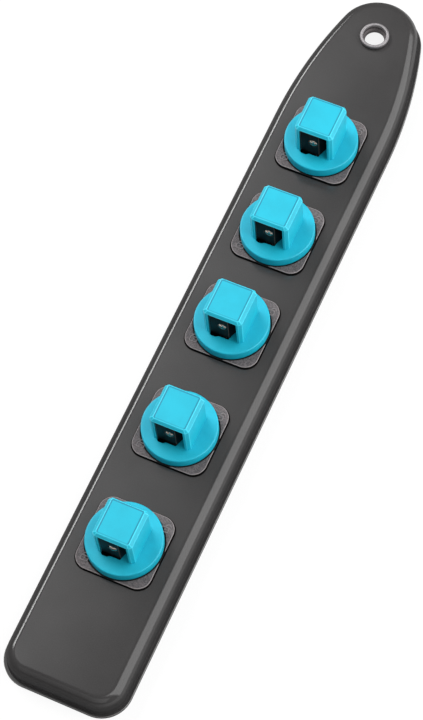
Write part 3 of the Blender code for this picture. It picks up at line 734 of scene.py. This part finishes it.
def make_plate():
    """The square plate with raised corner pads, its hub and the groove that guides the pawl."""
    half, corner, edge = (11.85 * MM, 4.2 * MM, 0.18 * MM)
    hub_radius, pocket_radius, cup_radius, bore_radius = (r * MM for r in (11.2, 12.0, 9.4, 1.6))
    groove_width, groove_far, groove_near, groove_floor, groove_centre = (
        d * MM for d in (1.1, -6.3, -4.1, 4.4, -0.6))
    pad = with_marks(block((-half, -half, PLATE_BOTTOM), (half, half, PLATE_TOP)))
    round_off(pad, upright(pad), corner, 10)
    rounded = bmesh.ops.bevel(pad, geom=level(pad, PLATE_TOP), offset=edge, segments=3, profile=0.5,
                              affect="EDGES", material=-1, clamp_overlap=True)
    # Painted highlight on the plate's rounded top edge
    paint_light_on(pad, rounded["faces"])
    above = PLATE_TOP + MM
    hub = drum(hub_radius, HUB_BOTTOM, (PLATE_BOTTOM + POCKET_FLOOR) / 2)
    pocket = drum(pocket_radius, POCKET_FLOOR, above, 120)
    cup = drum(cup_radius, HUB_FLOOR_TOP, above)
    bore = drum(bore_radius, 0, above, 32)
    groove = block((-groove_width, groove_far, groove_floor), (0, groove_near, HUB_FLOOR_TOP + MM))
    bmesh.ops.delete(groove, geom=[f for f in groove.faces if f.normal.x < 0.9], context="FACES")
    bmesh.ops.spin(groove, geom=groove.verts[:] + groove.edges[:] + groove.faces[:],
                   cent=(0, groove_centre, 0), axis=UP, dvec=(0, 0, 0), angle=math.pi, steps=32,
                   use_merge=False, use_duplicate=False)
    bmesh.ops.holes_fill(groove, edges=groove.edges, sides=0)
    return joined(pad, adds=[hub], cuts=[pocket, cup, bore, tidy(groove)])


def cap_disc():
    """The cap's disc with its rim, and the sleeve and boss below it."""
    rim, rim_inside, sleeve, sleeve_inside, boss, bore = (r * MM for r in (11.5, 10.3, 9.1, 8.0, 2.6, 1.6))
    bore_top, foot = (11.75 * MM, 6.4 * MM)
    outline = [(0, bore_top), (0, DISC_TOP), (rim, DISC_TOP), (rim, DISC_BOTTOM), (rim_inside, DISC_BOTTOM),
               (rim_inside, WEB_BOTTOM), (sleeve, WEB_BOTTOM), (sleeve, foot), (sleeve_inside, foot),
               (sleeve_inside, WEB_BOTTOM), (boss, WEB_BOTTOM), (boss, foot), (bore, foot),
               (bore, bore_top)]
    return turned(outline, ((2, 0.45 * MM), (3, 0.15 * MM)), steps=128, segments=5)


def cap_hood():
    """The square hood with bevelled edges, before its room is cut."""
    crown_side, crown_front, crown_back, crown_corner = (d * MM for d in (5.25, -5.55, 5.85, 0.45))
    bevel_foot, sunk = (HOOD_TOP - HOOD_CHAMFER, 0.8 * MM)
    hood = block((-HOOD_HALF, -HOOD_HALF, DISC_TOP - sunk), (HOOD_HALF, HOOD_HALF, bevel_foot))
    round_off(hood, upright(hood), HOOD_CHAMFER, 1)
    top = max(hood.faces, key=lambda f: f.calc_center_median().z)
    bmesh.ops.delete(hood, geom=[top], context="FACES_ONLY")
    crown = block((-crown_side, crown_front, HOOD_TOP), (crown_side, crown_back, HOOD_TOP + MM))
    round_off(crown, upright(crown), crown_corner, 1)
    bmesh.ops.delete(crown, geom=[f for f in crown.faces if f.normal.z > -0.9], context="FACES")
    add_mesh(hood, crown)
    bmesh.ops.bridge_loops(hood, edges=boundary(hood, bevel_foot) + boundary(hood, HOOD_TOP))
    return tidy(hood)


def make_cap():
    """The turquoise cap: a disc and a hood open at the front, with a window for the lock."""
    window_back, window_front, corner = (-2.8 * MM, -7.1 * MM, 0.25 * MM)
    edge, crown_shade_width, fillet_width, fillet_from = (0.16 * MM, 0.40 * MM, 0.22 * MM, 5.0 * MM)
    room = block((-ROOM_HALF, -8 * MM, DISC_TOP), (ROOM_HALF, ROOM_HALF, HOOD_CEILING))
    window = prism([(-ROOM_HALF, window_back), (-ROOM_HALF, -HOOD_HALF), (-3.75 * MM, window_front),
                    (-2.2 * MM, window_front), (-1.4 * MM, -6.5 * MM), (1.8 * MM, -6.5 * MM),
                    (2.0 * MM, -5.7 * MM), (3.0 * MM, window_back)], 10 * MM, DISC_TOP + MM)
    round_off(window, upright(window), corner, 3)
    cap = joined(cap_disc(), adds=[cap_hood()], cuts=[room, window])
    spare = 0.1 * MM
    mouth = {e for e in cap.edges if all(
        v.co.z < DISC_TOP + spare and abs(v.co.x) < ROOM_HALF + spare
        and window_front - spare < v.co.y < window_back + spare for v in e.verts)}
    # Painted highlight lines on the rounded edges
    soften(cap, edge, 2, angle=28, sharp=mouth)
    foot = [e for e in level(cap, DISC_TOP) if not e.is_convex and e.calc_face_angle(0) > 1
            and max(v.co.y for v in e.verts) > HOOD_CHAMFER - HOOD_HALF - spare
            and max(abs(v.co.x) for v in e.verts) > fillet_from]
    fillet = bmesh.ops.bevel(cap, geom=foot, offset=fillet_width, segments=2, profile=0.5,
                             affect="EDGES", material=-1, clamp_overlap=True)
    # Painted highlight on the fillet at the hood's foot
    paint_light_on(cap, fillet["faces"])
    # A painted dark line of shade round the crown's edge, weaker at the front
    crown = max((f for f in cap.faces if f.normal.z > 0.99), key=lambda f: f.calc_center_median().z)
    ring = step_in(cap, crown, crown_shade_width, 0)
    front = min(ring, key=lambda f: f.calc_center_median().y)
    paint_light_on(cap, ring, -1.0)
    paint_light_on(cap, [front], -0.4)
    return cap


def make_pawl():
    """The black pawl that slides in the hood, with a leg, a follower and a seat for the ball."""
    side, nose, back, nose_right = (4.25 * MM, -6.1 * MM, -0.5 * MM, 1.9 * MM)
    leg_half, leg_back, leg_foot = (1.05 * MM, -4.3 * MM, 6.3 * MM)
    pin_radius, pin_foot, pin_y = (0.8 * MM, 4.7 * MM, -5.2 * MM)
    clear, seat_gap, edge = (0.3 * MM, 0.2 * MM, 0.16 * MM)
    low = DISC_TOP + clear
    body = prism([(-side, nose), (nose_right, nose), (side, back), (-side, back)],
                 low, HOOD_CEILING - clear)
    leg = block((-leg_half, nose, leg_foot), (leg_half, leg_back, low + MM))
    pin = drum(pin_radius, pin_foot, leg_foot + 0.8 * MM, 32, (0, pin_y))
    seat = bmesh.new()
    bmesh.ops.create_uvsphere(seat, u_segments=48, v_segments=24, radius=BALL_RADIUS + seat_gap)
    bmesh.ops.translate(seat, verts=seat.verts, vec=(0, BALL_Y, BALL_Z))
    pawl = joined(body, adds=[leg, pin], cuts=[seat])
    # Painted reflection on the rounded edges
    return soften(pawl, edge, 2, angle=40)


def make_ball():
    """The hard steel ball."""
    bm = bmesh.new()
    bmesh.ops.create_icosphere(bm, subdivisions=4, radius=BALL_RADIUS)
    bmesh.ops.translate(bm, verts=bm.verts, vec=(0, BALL_Y, BALL_Z))
    return bm


def dress(node, finish):
    """Gives a CAD node that keeps its shape a better material."""
    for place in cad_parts[node].material_slots:
        place.material = finish


def build_object():
    """Every piece of the socket rail."""
    charcoal = rail_charcoal()
    teal = cap_turquoise()
    grey = plate_grey()
    black = pawl_black()
    steel = ball_steel()
    zinc = screw_zinc()
    dull = nut_black()
    piece("rail_body", make_rail(), "rail", charcoal, ["rail_shell"], smooth_angle=50)
    piece("eyelet", make_eyelet(), "rail", eyelet_nickel(), ["hanging_eyelet"])
    plate = make_plate()
    cap = make_cap()
    pawl = make_pawl()
    ball = make_ball()
    marks = bmesh.new()
    shut_place, open_place = ((-8.8 * MM, -8.5 * MM, 0), (9.0 * MM, 8.6 * MM, 0))
    for open_shackle, place in ((False, shut_place), (True, open_place)):
        mark = padlock_mark(open_shackle)
        bmesh.ops.translate(mark, verts=mark.verts, vec=place)
        add_mesh(marks, mark)
    for n, y in enumerate(HOLDER_Y, start=1):
        place = (0, y, 0)
        piece(f"plate_{n}", plate, "rail", grey, [f"base_plate_{n}"], place, 30)
        piece(f"plate_marks_{n}", marks, "rail", grey, [], place, 30)
        piece(f"cap_{n}", cap, f"cap_{n}", teal, [f"twist_cap_{n}"], place, 30)
        piece(f"pawl_{n}", pawl, f"pawl_{n}", black, [f"lock_pawl_{n}"], place, 30)
        piece(f"ball_{n}", ball, f"pawl_{n}", steel, [f"lock_ball_{n}"], place, 60)
        dress(f"hub_nut_{n}", dull)
        dress(f"pivot_screw_{n}", zinc)
        dress(f"pivot_washer_{n}", zinc)
    for n in range(1, 7):
        dress(f"cover_screw_{n}", zinc)
    dress("back_cover", cover_black())


# Stage

def floor_white():
    """A pale floor that shows as white and keeps the object's shadow."""
    f = Finish("floor_white", Roughness=0.9, Base_Color=(0.86, 0.86, 0.86, 1))
    path = f.node("ShaderNodeLightPath")
    seen = Level(f, path.outputs["Is Camera Ray"]) + Level(f, path.outputs["Is Glossy Ray"]) \
        + Level(f, path.outputs["Is Transmission Ray"])
    white = f.node("ShaderNodeEmission", None, {"Color": (1, 1, 1, 1), "Strength": 1.0})
    mixed = f.node("ShaderNodeMixShader", None,
                   {0: 0.88 * seen, 1: f.shader.outputs[0], 2: white.outputs[0]})
    out = f.tree.nodes["Material Output"]
    f.tree.links.new(mixed.outputs[0], out.inputs["Surface"])
    return f.material


def build_stage():
    """The floor and the world."""
    bm = bmesh.new()
    reach, drop = (3.0, 0.02 * MM)
    bmesh.ops.create_grid(bm, x_segments=1, y_segments=1, size=reach)
    bmesh.ops.translate(bm, verts=bm.verts, vec=(0, 0, -drop))
    floor = as_object(bm, "floor")
    floor.data.materials.append(floor_white())
    world = bpy.data.worlds.new("studio")
    world.use_nodes = True
    bpy.context.scene.world = world
    world.node_tree.nodes["Background"].inputs["Color"].default_value = (1, 1, 1, 1)
    world.node_tree.nodes["Background"].inputs["Strength"].default_value = 0.24


def lamp(name, place, aim, size, power):
    """A soft box that points at a spot."""
    data = bpy.data.lights.new(name, "AREA")
    data.shape = "RECTANGLE"
    data.size, data.size_y = size
    data.energy = power
    made = bpy.data.objects.new(name, data)
    made.location = place
    made.rotation_euler = (Vector(aim) - Vector(place)).to_track_quat("-Z", "Y").to_euler()
    bpy.context.collection.objects.link(made)
    return made


def build_lights():
    """A strip at the left, a large soft box at the right, a small one above and a weak one in front."""
    lamp("left_strip", place=(-0.64, 0.38, 0.66), aim=(0, 0.38, 0), size=(0.75, 0.23), power=9.6)
    lamp("right_box", place=(0.56, 0.33, 0.50), aim=(0, 0.33, 0), size=(1.15, 1.3), power=12.6)
    lamp("top_box", place=(-0.28, 0.28, 0.85), aim=(-0.2, 0.28, 0), size=(0.7, 0.15), power=0.42)
    lamp("front_box", place=(0.10, -0.87, 0.72), aim=(0.10, 0, 0), size=(1.3, 0.78), power=2.8)


def build_camera():
    """The photograph's camera: high over the rail's near right corner."""
    data = bpy.data.cameras.new("photo_camera")
    data.sensor_width = 36
    data.lens = 115.362
    data.clip_start = 0.01
    data.clip_end = 20
    made = bpy.data.objects.new("photo_camera", data)
    made.location = (0.150817, -0.269035, 0.632850)
    made.rotation_euler = [math.radians(a) for a in (25.24659, 3.07325, 24.31792)]
    bpy.context.collection.objects.link(made)
    bpy.context.scene.camera = made


build_object()
build_stage()
build_lights()
build_camera()
bpy.context.scene.view_settings.view_transform = "Standard"
